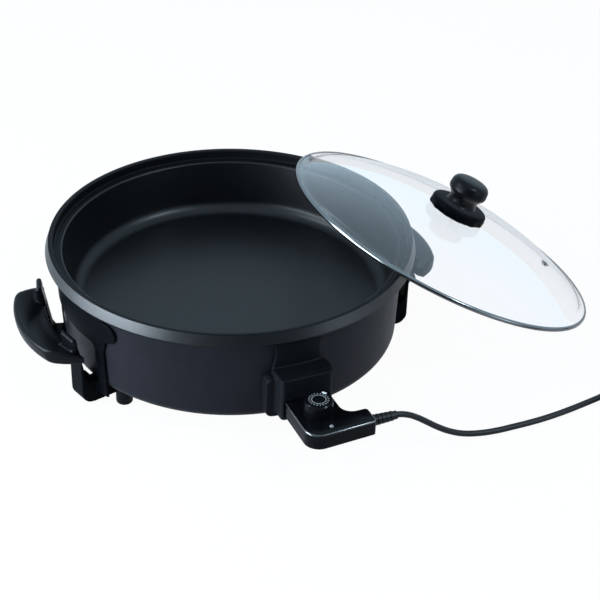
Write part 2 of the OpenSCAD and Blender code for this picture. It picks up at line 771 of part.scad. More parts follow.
module controller_upper_shell() {
    color("#0f0f11") difference() {
        union() {
            translate([0, 0, body_top - shell_t]) linear_extrude(shell_t) body_outline(0);
            difference() {
                translate([0, 0, tube_z]) linear_extrude(body_top - tube_z) body_outline(0);
                translate([0, 0, tube_z - 1]) linear_extrude(body_h) body_outline(shell_t);
            }
            for (p = boss_places) translate([p[0], p[1], tube_z]) cylinder(d = 7, h = body_top - tube_z);
            for (y = rib_ys) translate([-stem_half + 1, y - rib_t, tube_z])
                cube([2 * stem_half - 2, rib_t, body_top - tube_z - 1]);
        }
        shell_openings();
        for (p = boss_places) translate([p[0], p[1], tube_z - 1])
            cylinder(d = shell_screw_d + 2 * hole_gap, h = body_h / 2 - 1);
        translate([0, -dial_r, tube_z]) cylinder(d = shaft_d + 2 * shaft_gap, h = body_h);
        translate([lens_place[0], lens_place[1], tube_z]) cylinder(d = lens_d + hole_gap, h = body_h);
    }
}

module controller_screws() {
    color("silver") for (p = boss_places) translate([p[0], p[1], body_low]) {
        translate([0, 0, 0.2]) cylinder(d = 2 * shell_screw_d, h = 1.8);
        translate([0, 0, 1]) cylinder(d = shell_screw_d, h = body_h - shell_t - 3);
    }
}

// Spring sleeves that take the pan's pins
contact_d = 9;
module contact_sleeves() {
    color("#c9a860") for (x = [-pin_x, pin_x]) difference() {
        along_y(x, -stem_back - shell_t - 0.2, -stem_back - 22.5, contact_d);
        along_y(x, -stem_back, -stem_back - 20, pin_d + 2 * shaft_gap);
    }
}

frame_y = -stem_back - 26;
module probe_rod() {
    color("silver") along_y(0, probe_tip - hole_gap, frame_y - 6, probe_d);
}

module thermostat_frame() {
    color("#c0bdb0") difference() {
        translate([-7, frame_y - 8, body_low + shell_t]) cube([14, 9, body_h - 2 * shell_t - 3]);
        along_y(0, frame_y + 2, frame_y - 6, probe_d + 2 * shaft_gap);
    }
}

module contact_lever() {
    color("#b58b45") translate([4.5, frame_y - 26, body_top - shell_t - 3]) cube([4.5, 26, 0.8]);
}

module neon_lamp() {
    color("#e09a6a") translate([lens_place[0], lens_place[1], body_low + shell_t])
        cylinder(d = lens_d - 0.5, h = body_h - 2 * shell_t - 0.2);
}

module pilot_lens() {
    color("#c8c8c8") translate([lens_place[0], lens_place[1], body_top - shell_t]) rotate_extrude()
        polygon(concat([[0, 0], [lens_d / 2, 0]],
            arc(0, shell_t - 0.4, lens_d / 2, 0, 90, 5)));
}

// Dial: a slightly tapered cap with a raised rim, turning on its own shaft
module dial() {
    r = dial_d / 2;
    color("#111113") translate([0, -dial_r, body_top + seat_gap]) difference() {
        rotate_extrude() polygon([
            [shaft_d / 2, 0], [r + 0.6, 0], [r + 0.2, dial_h - 1.2], [r - 1, dial_h],
            [r - 3, dial_h], [r - 3.6, dial_h - 0.8], [0, dial_h - 0.8], [0, dial_h - 4],
            [shaft_d / 2, dial_h - 4]]);
        for (a = [0:15:345]) rotate([0, 0, a]) translate([r + 1.2, 0, -1]) cylinder(d = 2, h = dial_h - 3);
    }
}

module dial_shaft() {
    color("silver") translate([0, -dial_r, 0]) {
        translate([0, 0, body_low + shell_t + 0.3])
            cylinder(d = shaft_d, h = body_h - shell_t + dial_h - 4.5);
        translate([0, 0, body_low + shell_t + 0.5]) cylinder(d = 2 * shaft_d + 1, h = 2.5);
    }
}

pointer_angle = 40;
module dial_pointer() {
    color("white") translate([0, -dial_r, body_top + seat_gap + dial_h]) rotate([0, 0, pointer_angle])
        translate([dial_d / 2 - 2.1, 0, 0]) linear_extrude(0.5) {
            square([1.9, 3.2], center = true);
            for (side = [-1, 1]) translate([0, 1.6 * side]) circle(d = 1.9);
        }
}

module cord_clamp() {
    color("#303034") translate([arm_end - 22, cord_y - 5, tube_z + cord_d / 2 + 0.1])
        cube([7, 10, body_top - shell_t - tube_z - cord_d / 2 - 0.2]);
}

// Strain relief: a tapered sleeve with ribs, held by its collar inside the shells
module strain_relief() {
    end_d = cord_d + 2.4;
    rib_step = (relief_l - 3) / relief_ribs;
    color("#141416") translate([arm_end, cord_y, tube_z]) rotate([0, 90, 0]) difference() {
        union() {
            translate([0, 0, -shell_t - 2.2]) cylinder(d = relief_d - 0.5, h = 2);
            translate([0, 0, -shell_t - 1]) cylinder(d = relief_neck_d, h = shell_t + 2);
            translate([0, 0, 0.2]) cylinder(d1 = relief_d - 2, d2 = end_d, h = relief_l - 0.2);
            for (i = [0:relief_ribs - 1]) translate([0, 0, 0.2 + i * rib_step])
                cylinder(d = relief_d - i * (relief_d - end_d) / (relief_ribs + 2), h = rib_step * 0.6);
        }
        translate([0, 0, -20]) cylinder(d = cord_d + 2 * hole_gap, h = relief_l + 30);
    }
}

module cord_lead() {
    color("#17171a") cord_tube(lead_route, cord_d, 10, [1, 0, 0], [1, 0, 0]);
}

module cord_coil() {
    color("#17171a") cord_tube(coil_route, cord_d, 6, [1, 0, 0], [1, 0, 0]);
}

module cord_tail() {
    color("#17171a") cord_tube(tail_route, cord_d, 10, [1, 0, 0], [0, 1, 0]);
}

// Flat tie round the bundle of loops
module cord_tie() {
    tie_t = 0.8;
    tie_w = 6;
    inside_r = coil_inner - cord_d / 2 - 0.4;
    outside_r = coil_r + cord_d / 2 + 0.4;
    low = coil_z - cord_d / 2 - 0.4;
    high = coil_z + layer_step + cord_d / 2 + 0.4;
    color("#2a2a2c") translate([coil_x, coil_y, 0]) rotate([0, 0, -20]) difference() {
        translate([inside_r - tie_t, -tie_w / 2, low - tie_t])
            cube([outside_r - inside_r + 2 * tie_t, tie_w, high - low + 2 * tie_t]);
        translate([inside_r, -tie_w, low]) cube([outside_r - inside_r, 2 * tie_w, high - low]);
    }
}

// Mains plug lying on its side, its pins along +Y
module plug_body() {
    r = plug_d / 2;
    color("#17171a") translate([plug_x, plug_y, plug_z]) rotate([-90, 0, 0]) rotate_extrude() polygon(concat(
        [[0, 0], [cord_d * 0.9, 0], [cord_d, plug_l * 0.3], [r * 0.62, plug_l * 0.42]],
        arc(r - 3, plug_l * 0.62, 3, 120, 0, 4),
        [[r, plug_l - 1], [r - 1, plug_l], [0, plug_l]]));
}

module plug_pins() {
    color("#c9c4b4") for (z = [-plug_pitch / 2, plug_pitch / 2])
        translate([plug_x, plug_y + plug_l, plug_z + z]) rotate([-90, 0, 0]) {
            cylinder(d = plug_pin_d, h = plug_pin_l - 1.2);
            translate([0, 0, plug_pin_l - 1.2]) cylinder(d1 = plug_pin_d, d2 = plug_pin_d - 1.6, h = 1.2);
        }
}

// Lid's own frame: its axis up, the band's middle plane at zero, leaned towards lid_dir
module leaned() {
    rotate([0, 0, lid_dir]) translate([lid_out, 0, lid_lift]) rotate([0, lid_tilt, 0]) children();
}

module lid_glass() {
    outside = [for (i = [0:14]) let (r = dome_edge_r * i / 14) [r, dome_z(r)]];
    inside = [for (i = [14:-1:0]) let (r = dome_edge_r * i / 14) [r, dome_z(r) - glass_t]];
    color([0.75, 0.85, 0.85, 0.4]) leaned() difference() {
        rotate_extrude() polygon(concat(outside,
            [[glass_edge_r, dome_edge_z], [glass_edge_r, -dome_edge_z]], inside));
        translate([0, 0, dome_h - glass_t - 2]) cylinder(d = knob_screw_d + 4, h = glass_t + 4);
        at_vent() translate([0, 0, -3 * glass_t]) cylinder(d = vent_d, h = 5 * glass_t);
    }
}

// Place of the steam vent on the lid, square to the glass
module at_vent() {
    rotate([0, 0, vent_dir]) translate([vent_r, 0, dome_z(vent_r)]) rotate([0, vent_slope, 0]) children();
}

module lid_band() {
    g = seat_gap / 2;
    half = band_h / 2;
    color("#c8cacc") leaned() rotate_extrude() polygon([
        [lid_r - 5, half - 0.6], [lid_r - 4, half], [lid_r - band_round, half], [lid_r, half - band_round],
        [lid_r, -half + band_round], [lid_r - band_round, -half], [lid_r - 5, -half],
        [lid_r - 5, -dome_edge_z - g],
        [glass_edge_r + g, -dome_edge_z - g], [glass_edge_r + g, dome_edge_z + g],
        [lid_r - 5, dome_edge_z + g]]);
}

// Knob: a skirt on the glass, a neck and a mushroom cap
skirt_z = dome_h + seat_gap;
module knob_skirt() {
    r = skirt_d / 2;
    hollow = 1.2;
    color("#111113") leaned() translate([0, 0, skirt_z]) difference() {
        rotate_extrude() polygon(concat(
            [[knob_screw_d / 2 + hole_gap, 0], [r - 3, 0], [r - 1, 1.5]],
            arc(r - 4, skirt_h - 5, 4, 0, 70, 5),
            [[knob_neck_d / 2 + 2, skirt_h], [knob_screw_d / 2 + hole_gap, skirt_h]]));
        for (a = [0:60:300]) rotate([0, 0, a]) translate([r, 0, -1]) cylinder(d = 5, h = hollow + 2.5);
    }
}

module lid_knob() {
    r = knob_d / 2;
    neck = knob_neck_d / 2;
    cap_z = knob_h * 0.36;
    crown = knob_h * 0.26;
    color("#111113") leaned() translate([0, 0, skirt_z + skirt_h]) difference() {
        rotate_extrude() polygon(concat(
            [[0, 0], [neck + 1, 0], [neck - 1, 2], [neck - 1, cap_z - 5]],
            arc(r - 3, cap_z, 3, -60, 10, 4),
            arc(r - crown - 0.5, knob_h - crown - 2, crown, 10, 75, 5),
            [[0, knob_h]]));
        translate([0, 0, -1]) cylinder(d = knob_screw_d + 2 * hole_gap, h = 13);
    }
}

module knob_screw() {
    washer_low = dome_h - glass_t - washer_t - 0.6;
    color("silver") leaned() {
        translate([0, 0, washer_low - head_h]) cylinder(d = 2.2 * knob_screw_d, h = head_h);
        translate([0, 0, washer_low - head_h / 2])
            cylinder(d = knob_screw_d, h = skirt_z + skirt_h + 10 - washer_low + head_h / 2);
    }
}

washer_t = 1.5;
module knob_washer() {
    color("#b0b0b4") leaned() translate([0, 0, dome_h - glass_t - washer_t - 0.5]) difference() {
        cylinder(d = 4 * knob_screw_d, h = washer_t);
        translate([0, 0, -1]) cylinder(d = knob_screw_d + 2 * hole_gap, h = washer_t + 2);
    }
}

// Eyelet through the glass
module vent_eyelet() {
    color("#b0b0b4") leaned() at_vent() difference() {
        union() {
            translate([0, 0, 0.15]) cylinder(d = vent_d + 4, h = 0.8);
            translate([0, 0, -glass_t - 0.6]) cylinder(d = vent_d - 0.6, h = glass_t + 1.2);
        }
        translate([0, 0, -glass_t - 2]) cylinder(d = vent_d - 2.2, h = glass_t + 5);
    }
}

pan();
housing();
bottom_cover();
cover_screws();
base_feet();
heat_spreader();
heating_element();
terminal_pins();
probe_sleeve();
earth_strip();
left_handle();
right_handle();
handle_screws();
handle_nuts();
socket_bracket();
bracket_screws();
bracket_washers();
controller_lower_shell();
controller_upper_shell();
controller_screws();
contact_sleeves();
probe_rod();
thermostat_frame();
contact_lever();
neon_lamp();
pilot_lens();
dial();
dial_shaft();
dial_pointer();
cord_clamp();
strain_relief();
cord_lead();
cord_coil();
cord_tie();
cord_tail();
plug_body();
plug_pins();
lid_glass();
lid_band();
knob_skirt();
lid_knob();
knob_screw();
knob_washer();
vent_eyelet();
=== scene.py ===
from math import atan2, cos, degrees, pi, radians, sin, tan

import bpy
from mathutils import Matrix, Vector


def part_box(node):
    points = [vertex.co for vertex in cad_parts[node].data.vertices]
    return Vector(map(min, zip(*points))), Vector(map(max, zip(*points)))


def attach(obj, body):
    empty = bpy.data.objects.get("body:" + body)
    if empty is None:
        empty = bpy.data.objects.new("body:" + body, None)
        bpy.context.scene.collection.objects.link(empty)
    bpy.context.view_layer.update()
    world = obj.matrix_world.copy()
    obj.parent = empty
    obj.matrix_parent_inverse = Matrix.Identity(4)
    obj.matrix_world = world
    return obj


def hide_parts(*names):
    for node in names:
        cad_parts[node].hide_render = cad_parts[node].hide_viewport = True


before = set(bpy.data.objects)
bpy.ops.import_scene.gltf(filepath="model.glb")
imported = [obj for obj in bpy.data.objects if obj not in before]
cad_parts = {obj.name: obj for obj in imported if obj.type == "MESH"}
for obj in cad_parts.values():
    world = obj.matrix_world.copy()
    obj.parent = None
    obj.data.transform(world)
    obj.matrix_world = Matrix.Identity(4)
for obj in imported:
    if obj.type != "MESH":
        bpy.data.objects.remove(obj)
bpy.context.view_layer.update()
bpy.ops.object.select_all(action="DESELECT")


# Camera: it stands a little left of the socket and looks down into the pan, through a long lens.
# The photograph is slightly tilted, so the camera is rolled by the same small angle.
view_azimuth = radians(-24)
view_elevation = radians(32.82)
view_roll = radians(1.374)
view_place = (-0.6109, -1.5607, 1.1322)
aim = Matrix.Rotation(view_azimuth, 3, "Z") @ Matrix.Rotation(pi / 2 - view_elevation, 3, "X")
aim = aim @ Matrix.Rotation(view_roll, 3, "Z")
bpy.ops.object.camera_add(location=view_place, rotation=aim.to_euler())
camera = bpy.context.object
camera.name = "camera"
camera.data.lens = 108
camera.data.sensor_width = 36
bpy.context.scene.camera = camera
bpy.context.scene.view_settings.view_transform = "Standard"


# Cord: a round black mains lead, moulded into the thermostat's strain relief at one end.
# It droops to the table, runs off to the right and lies there coiled in two layers, up to the plug.
cord_d = 0.0065
relief_low, relief_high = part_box("strain_relief")
cord_y, cord_z = (relief_low.y + relief_high.y) / 2, (relief_low.z + relief_high.z) / 2
lead_end_y = -0.253
lead_points = [
    (0.038, cord_y, cord_z), (0.058, cord_y, cord_z), (0.078, cord_y, cord_z),
    (0.089, cord_y, cord_z - 0.0033), (0.1, cord_y, cord_z - 0.0096), (0.112, -0.263, 0.0336),
    (0.125, -0.264, 0.024), (0.139, -0.265, 0.0155), (0.154, -0.266, 0.0092), (0.173, -0.267, 0.0051),
    (0.192, -0.268, 0.0036), (0.213, -0.2685, 0.0035), (0.236, -0.2685, 0.0035),
    (0.26, -0.267, 0.0035), (0.284, -0.264, 0.0036), (0.306, -0.2605, 0.0039), (0.326, -0.257, 0.0043),
    (0.344, lead_end_y + 0.0006, 0.0047), (0.357, lead_end_y, 0.0048)]
coil_centre = Vector((0.365, -0.296, 0.0048))
coil_r, loop_step, layer_step = 0.043, 0.0082, 0.0072
turns_in, turns_up, turns_out, marks_per_turn = 2, 0.5, 1.5, 24
coil_inner = coil_r - loop_step * turns_in
coil_points = []
for mark in range(round((turns_in + turns_up + turns_out) * marks_per_turn) + 1):
    turn = mark / marks_per_turn
    if turn < turns_in:
        r = coil_r - loop_step * turn
    else:
        r = coil_inner + loop_step * max(0, turn - turns_in - turns_up)
    rise = layer_step * min(1, max(0, (turn - turns_in) / turns_up))
    angle = pi / 2 - 2 * pi * turn
    coil_points.append(coil_centre + Vector((r * cos(angle), r * sin(angle), rise)))
plug_low, plug_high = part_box("plug_body")
plug_x, plug_z = (plug_low.x + plug_high.x) / 2, (plug_low.z + plug_high.z) / 2
tail_points = [
    (0.3715, coil_points[-1].y, coil_points[-1].z), (0.386, -0.2568, 0.0123), (0.401, -0.2556, 0.013),
    (0.415, -0.2522, 0.014), (0.427, -0.2462, 0.0152), (0.436, -0.238, 0.0165), (0.442, -0.2288, 0.0177),
    (plug_x, plug_low.y - cord_d, plug_z), (plug_x, plug_low.y, plug_z)]
cord_points = [Vector(p) for p in lead_points] + coil_points + [Vector(p) for p in tail_points]
cord_curve = bpy.data.curves.new("cord", "CURVE")
cord_curve.dimensions = "3D"
cord_curve.bevel_depth = cord_d / 2
cord_curve.bevel_resolution = 5
cord_curve.resolution_u = 6
cord_curve.use_fill_caps = True
spline = cord_curve.splines.new("BEZIER")
spline.bezier_points.add(len(cord_points) - 1)
for knot, place in zip(spline.bezier_points, cord_points):
    knot.co = place
    knot.handle_left_type = knot.handle_right_type = "AUTO"
cord = bpy.data.objects.new("mains_cord", cord_curve)
bpy.context.scene.collection.objects.link(cord)


def coating(name, colour, roughness, grain=900.0, depth=0.1, mottle=0.15, level=0.5, coat=0.0):
    """A coloured surface with slow mottling of its colour and gloss and a fine grain in its relief."""
    material = bpy.data.materials.new(name)
    material.use_nodes = True
    nodes, links = material.node_tree.nodes, material.node_tree.links
    shader = nodes["Principled BSDF"]
    shader.inputs["Specular IOR Level"].default_value = level
    shader.inputs["Coat Weight"].default_value = coat
    shader.inputs["Coat Roughness"].default_value = 0.08
    place = nodes.new("ShaderNodeTexCoord")
    slow = nodes.new("ShaderNodeTexNoise")
    slow.inputs["Scale"].default_value = 60
    slow.inputs["Detail"].default_value = 4
    links.new(place.outputs["Object"], slow.inputs["Vector"])
    shade = nodes.new("ShaderNodeMapRange")
    shade.inputs["To Min"].default_value = 1 - mottle
    shade.inputs["To Max"].default_value = 1 + mottle
    links.new(slow.outputs["Fac"], shade.inputs["Value"])
    tint = nodes.new("ShaderNodeVectorMath")
    tint.operation = "SCALE"
    tint.inputs[0].default_value = colour
    links.new(shade.outputs["Result"], tint.inputs["Scale"])
    links.new(tint.outputs["Vector"], shader.inputs["Base Color"])
    gloss = nodes.new("ShaderNodeMapRange")
    gloss.inputs["To Min"].default_value = roughness * (1 - mottle)
    gloss.inputs["To Max"].default_value = roughness * (1 + mottle)
    links.new(slow.outputs["Fac"], gloss.inputs["Value"])
    links.new(gloss.outputs["Result"], shader.inputs["Roughness"])
    fine = nodes.new("ShaderNodeTexNoise")
    fine.inputs["Scale"].default_value = grain
    fine.inputs["Detail"].default_value = 3
    links.new(place.outputs["Object"], fine.inputs["Vector"])
    relief = nodes.new("ShaderNodeBump")
    relief.inputs["Strength"].default_value = depth
    relief.inputs["Distance"].default_value = 0.0004
    links.new(fine.outputs["Fac"], relief.inputs["Height"])
    links.new(relief.outputs["Normal"], shader.inputs["Normal"])
    return material


cord_rubber = coating("cord_rubber", (0.006, 0.006, 0.007), 0.4, grain=700, depth=0.08, level=0.25)
cord_curve.materials.append(cord_rubber)
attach(cord, "controller")
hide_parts("cord_lead", "cord_coil", "cord_tail")


# Pan: a cast aluminium bowl with a thick rim and a ledge inside it for the lid.
# It has a dark nonstick coat inside and out, with a satin gloss on the rim's sloping face.
def arc(cx, cz, r, start, end, steps):
    """Points of an arc in the plane of a turned profile, angles in degrees."""
    angles = [radians(start + (end - start) * i / steps) for i in range(steps + 1)]
    return [(cx + r * cos(a), cz + r * sin(a)) for a in angles]


def turned(name, profile, steps, closed=True):
    """Extrudes a point along a profile of distance and height, then spins it about the Z axis."""
    points = list(profile) + ([profile[0]] if closed else [])
    bpy.ops.object.select_all(action="DESELECT")
    bpy.ops.mesh.primitive_plane_add(size=0.001, location=(0, 0, 0))
    piece = bpy.context.object
    piece.name = name
    bpy.ops.object.mode_set(mode="EDIT")
    bpy.ops.mesh.select_mode(type="VERT")
    bpy.ops.mesh.select_all(action="SELECT")
    bpy.ops.mesh.merge(type="CENTER")
    bpy.ops.transform.translate(value=(points[0][0], 0, points[0][1]))
    for (r0, z0), (r1, z1) in zip(points, points[1:]):
        bpy.ops.mesh.extrude_region_move(TRANSFORM_OT_translate={"value": (r1 - r0, 0, z1 - z0)})
    bpy.ops.mesh.select_all(action="SELECT")
    bpy.ops.mesh.spin(steps=steps, angle=2 * pi, center=(0, 0, 0), axis=(0, 0, 1))
    bpy.ops.mesh.select_all(action="SELECT")
    bpy.ops.mesh.remove_doubles(threshold=0.00001)
    bpy.ops.mesh.normals_make_consistent(inside=False)
    bpy.ops.object.mode_set(mode="OBJECT")
    bpy.ops.object.shade_smooth_by_angle(angle=radians(32))
    return piece


pan_low, pan_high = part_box("pan")
rim_r, rim_h = pan_high.x, pan_high.z
rim_w, rim_face, ledge_depth, ledge_w = 0.009, 0.014, 0.010, 0.0095
pan_t, floor_z, draft, fillet = 0.004, 0.065, radians(7), 0.016
lip_shift, lip_round, ledge_round, top_round = 0.0016, 0.0018, 0.0016, 0.0014
groove_in, groove_floor_in, groove_floor_out, groove_depth = 0.0046, 0.0043, 0.0039, 0.0006
slope_in, slope_out, slope_top, slope_low = 0.0036, 0.0003, 0.0001, 0.0101
nose_round, nose_drop, heel_in, heel_round = 0.001, 0.0113, 0.0021, 0.0006
floor_rings = (0, 0.04, 0.08, 0.12)
lip_r = rim_r - rim_w - ledge_w
ledge_z = rim_h - ledge_depth
fillet_z = floor_z + fillet
fillet_r = lip_r - (ledge_z - fillet_z) * tan(draft) - fillet / cos(draft)
under_z = rim_h - rim_face
wall_r = lip_r + pan_t / cos(draft) - (ledge_z - under_z) * tan(draft)
pan_profile = [(r, floor_z) for r in floor_rings]
pan_profile += arc(fillet_r, fillet_z, fillet, -90, -degrees(draft), 10)
pan_profile += arc(lip_r + lip_shift, ledge_z - lip_round, lip_round, 180 - degrees(draft), 90, 5)
pan_profile += arc(rim_r - rim_w - ledge_round, ledge_z + ledge_round, ledge_round, -90, 0, 4)
pan_profile += arc(rim_r - rim_w + top_round, rim_h - top_round, top_round, 180, 90, 5)
pan_profile += [(rim_r - groove_in, rim_h), (rim_r - groove_floor_in, rim_h - groove_depth)]
pan_profile += [(rim_r - groove_floor_out, rim_h - groove_depth)]
pan_profile += [(rim_r - slope_in, rim_h - slope_top), (rim_r - slope_out, rim_h - slope_low)]
pan_profile += arc(rim_r - nose_round, rim_h - nose_drop, nose_round, 18, -20, 4)
pan_profile += arc(rim_r - heel_in, under_z + heel_round, heel_round, -20, -90, 3)
pan_profile += [(wall_r, under_z)]
pan_profile += arc(fillet_r, fillet_z, fillet + pan_t, -degrees(draft), -90, 8)
pan_profile += [(floor_rings[-1], floor_z - pan_t), (0, floor_z - pan_t)]
pan = turned("cast_pan", pan_profile, steps=160, closed=False)
pan_coat = coating("nonstick_coat", (0.003, 0.0033, 0.004), 0.34, grain=1400, depth=0.14, mottle=0.12,
                   level=0.3)
pan.data.materials.append(pan_coat)
rim_satin = coating("rim_satin", (0.006, 0.0066, 0.0078), 0.36, grain=2600, depth=0.2, mottle=0.1, level=0.5)
pan.data.materials.append(rim_satin)
rim_matt = coating("rim_matt", (0.004, 0.0043, 0.005), 0.42, grain=2200, depth=0.2, mottle=0.1, level=0.08)
pan.data.materials.append(rim_matt)
slope_reach, ledge_reach, under_margin, least_slope = rim_r - 0.004, lip_r + 0.003, 0.001, 0.05
for face in pan.data.polygons:
    reach = face.center.xy.length
    if reach > slope_reach and face.center.z > under_z and face.normal.z > least_slope:
        face.material_index = 1
    elif reach > ledge_reach and face.center.z > under_z - under_margin:
        face.material_index = 2
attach(pan, "base")
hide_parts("pan")


# Housing: a drawn steel skirt around the pan, in satin charcoal paint with a violet cast.
# Its top edge hides under the rim and its bottom edge is rolled in to a flange.
def dress(material, *names):
    """Gives one finish to CAD pieces that keep their own shape."""
    for name in names:
        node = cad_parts[name]
        node.data.materials.clear()
        node.data.materials.append(material)


housing_paint = coating("charcoal_paint", (0.010, 0.0098, 0.0135), 0.36, grain=1600, depth=0.05, level=0.1)
dress(housing_paint, "housing")


# Handles: black moulded stirrups, each a wall plate with two posts, two legs down to the table
# and a dished grip. The moulded edges are round, so the solid is softened. The wall plate takes a darker,
# duller copy of the grip's black: painted shade under the rim, against the wall.
def copied(name, node):
    """Copies a CAD solid as a piece of its own with its corners merged."""
    bpy.ops.object.select_all(action="DESELECT")
    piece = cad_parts[node].copy()
    piece.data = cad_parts[node].data.copy()
    piece.name = name
    piece.parent = None
    for key in list(piece.keys()):
        del piece[key]
    bpy.context.scene.collection.objects.link(piece)
    bpy.context.view_layer.objects.active = piece
    piece.select_set(True)
    bpy.ops.object.mode_set(mode="EDIT")
    bpy.ops.mesh.select_all(action="SELECT")
    bpy.ops.mesh.remove_doubles(threshold=0.00001)
    bpy.ops.object.mode_set(mode="OBJECT")
    piece.data.materials.clear()
    return piece


def softened(name, node, grain, rounds, keep, soft=None, soft_rounds=0):
    """Rebuilds a copied solid as an even skin and relaxes its edges, and one region of it further."""
    piece = copied(name, node)
    skin = piece.modifiers.new("skin", "REMESH")
    skin.mode = "VOXEL"
    skin.voxel_size = grain
    bpy.ops.object.modifier_apply(modifier="skin")
    relax = piece.modifiers.new("relax", "SMOOTH")
    relax.factor = 0.5
    relax.iterations = rounds
    bpy.ops.object.modifier_apply(modifier="relax")
    if soft:
        for corner in piece.data.vertices:
            corner.select = soft(corner.co)
        bpy.ops.object.mode_set(mode="EDIT")
        bpy.ops.mesh.select_mode(type="VERT")
        bpy.ops.mesh.vertices_smooth(factor=0.5, repeat=soft_rounds)
        bpy.ops.object.mode_set(mode="OBJECT")
    thin = piece.modifiers.new("thin", "DECIMATE")
    thin.ratio = keep
    bpy.ops.object.modifier_apply(modifier="thin")
    bpy.ops.object.shade_smooth()
    return piece


grip_reach, grip_low, grip_high, plate_reach = 0.2035, 0.0565, 0.0795, 0.2025


def on_grip(place):
    """The dished grip, without the fins above it and the legs below it."""
    return place.xy.length > grip_reach and grip_low < place.z < grip_high


bakelite = coating("black_bakelite", (0.003, 0.0034, 0.0044), 0.3, grain=500, depth=0.02, level=0.12)
# A darker, duller copy of the black bakelite, as painted shade: on the handles' wall plates under the rim and
# on the knob's skirt.
shade_dark_bakelite = coating("shade_dark_bakelite", (0.002, 0.0026, 0.0036), 0.45, grain=500, depth=0.02, level=0.03)
for name, node in (("left_stirrup_handle", "left_handle"), ("right_stirrup_handle", "right_handle")):
    handle = softened(name, node, grain=0.0009, rounds=8, keep=0.4, soft=on_grip, soft_rounds=30)
    handle.data.materials.append(bakelite)
    handle.data.materials.append(shade_dark_bakelite)
    # Faces near the wall take the darker copy: painted shade on the plate.
    for face in handle.data.polygons:
        if face.center.xy.length < plate_reach:
            face.material_index = 1
    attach(handle, "base")
    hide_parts(node)
dress(bakelite, "base_feet")


# Socket: a black moulded bracket on the wall, with a box around the two pins.
# It carries the thermostat and is screwed on from inside the housing.
socket = softened("socket_moulding", "socket_bracket", grain=0.0009, rounds=4, keep=0.5)
socket_matt = coating("socket_matt", (0.006, 0.007, 0.0086), 0.45, grain=700, depth=0.04, level=0.06)
socket.data.materials.append(socket_matt)
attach(socket, "base")
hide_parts("socket_bracket")


# Thermostat: two glossy black shells, moulded and screwed together, with a dial and a smoky pilot lens
# on top and a ribbed rubber strain relief where the cord leaves. The upper shell's top edge is rounded, and
# the rounding gets a glossier, clear-coated copy of the black so that the front lamp draws a highlight line
# along it.
gloss_black = coating("gloss_black", (0.0028, 0.003, 0.0038), 0.16, grain=300, depth=0.01, level=0.08)
dress(gloss_black, "controller_lower_shell", "dial")


def eased(piece, level, holes, width, segments):
    """Rounds the outline of a flat face at one height, leaving the rims of the holes in it."""
    bpy.ops.object.mode_set(mode="EDIT")
    bpy.ops.mesh.select_all(action="SELECT")
    bpy.ops.mesh.dissolve_limited(angle_limit=radians(1))
    bpy.ops.mesh.select_all(action="DESELECT")
    bpy.ops.mesh.select_mode(type="EDGE")
    bpy.ops.object.mode_set(mode="OBJECT")
    corners = piece.data.vertices
    for edge in piece.data.edges:
        ends = [corners[i].co for i in edge.vertices]
        flat = all(abs(end.z - level) < 0.0001 for end in ends)
        near = any((end.xy - Vector(hole)).length < reach for end in ends for hole, reach in holes)
        edge.select = flat and not near
    bpy.ops.object.mode_set(mode="EDIT")
    bpy.ops.mesh.bevel(offset=width, segments=segments, affect="EDGES", clamp_overlap=True)
    bpy.ops.object.mode_set(mode="OBJECT")
    bpy.ops.object.shade_smooth_by_angle(angle=radians(30))


shell_low, shell_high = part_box("controller_upper_shell")
dial_low, dial_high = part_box("dial")
dial_centre = (dial_low + dial_high) / 2
upper_shell = copied("thermostat_top", "controller_upper_shell")
lens_low, lens_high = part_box("pilot_lens")
lens_centre = (lens_low + lens_high) / 2
shaft_reach, lens_reach, edge_round, edge_zone = 0.008, 0.005, 0.0018, 0.002
edge_steep, edge_flat = 0.1, 0.98
shell_holes = [(dial_centre.xy, shaft_reach), (lens_centre.xy, lens_reach)]
eased(upper_shell, shell_high.z, shell_holes, width=edge_round, segments=5)
upper_shell.data.materials.append(gloss_black)
# A much glossier, clear-coated copy of the black, put on the rounded top edge only so that the front lamp
# draws a bright highlight line there.
edge_highlight_gloss = coating("edge_highlight_gloss", (0.003, 0.003, 0.0034), 0.2, grain=300, depth=0.01, level=1.0, coat=1.0)
upper_shell.data.materials.append(edge_highlight_gloss)
# Faces of the edge's rounding take the highlight gloss.
for face in upper_shell.data.polygons:
    if face.center.z > shell_high.z - edge_zone and edge_steep < face.normal.z < edge_flat:
        face.material_index = 1
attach(upper_shell, "controller")
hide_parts("controller_upper_shell")

relief_rubber = coating("relief_rubber", (0.005, 0.005, 0.006), 0.4, grain=800, depth=0.08, level=0.25)
dress(relief_rubber, "strain_relief", "plug_body", "cord_tie", "cord_clamp")
lens_smoke = coating("lens_smoke", (0.16, 0.16, 0.17), 0.12, depth=0.0)
dress(lens_smoke, "pilot_lens")


# Dial face: a thin black disc on top of the dial, printed with a ring and twenty ticks in pale ink.
# It is glued on and turns with the dial, as the white pointer mark beside it does.
bpy.ops.object.select_all(action="DESELECT")
print_r, print_t, ring_r, ring_half = 0.0118, 0.0002, 0.0072, 0.00035
tick_r, tick_half, tick_count, tick_share = 0.0098, 0.0009, 20, 0.3
bpy.ops.mesh.primitive_cylinder_add(vertices=64, radius=print_r, depth=print_t,
                                    location=(dial_centre.x, dial_centre.y, dial_high.z))
dial_print = bpy.context.object
bpy.ops.object.transform_apply(location=True, rotation=True, scale=True)
dial_print.name = "dial_print"
print_ink = coating("dial_ink", (0.003, 0.003, 0.0034), 0.3, depth=0.0, level=0.15)
ink_nodes, ink_links = print_ink.node_tree.nodes, print_ink.node_tree.links
ink_place = ink_nodes.new("ShaderNodeTexCoord")
ink_centre = ink_nodes.new("ShaderNodeVectorMath")
ink_centre.operation = "SUBTRACT"
ink_centre.inputs[1].default_value = (dial_centre.x, dial_centre.y, dial_high.z)
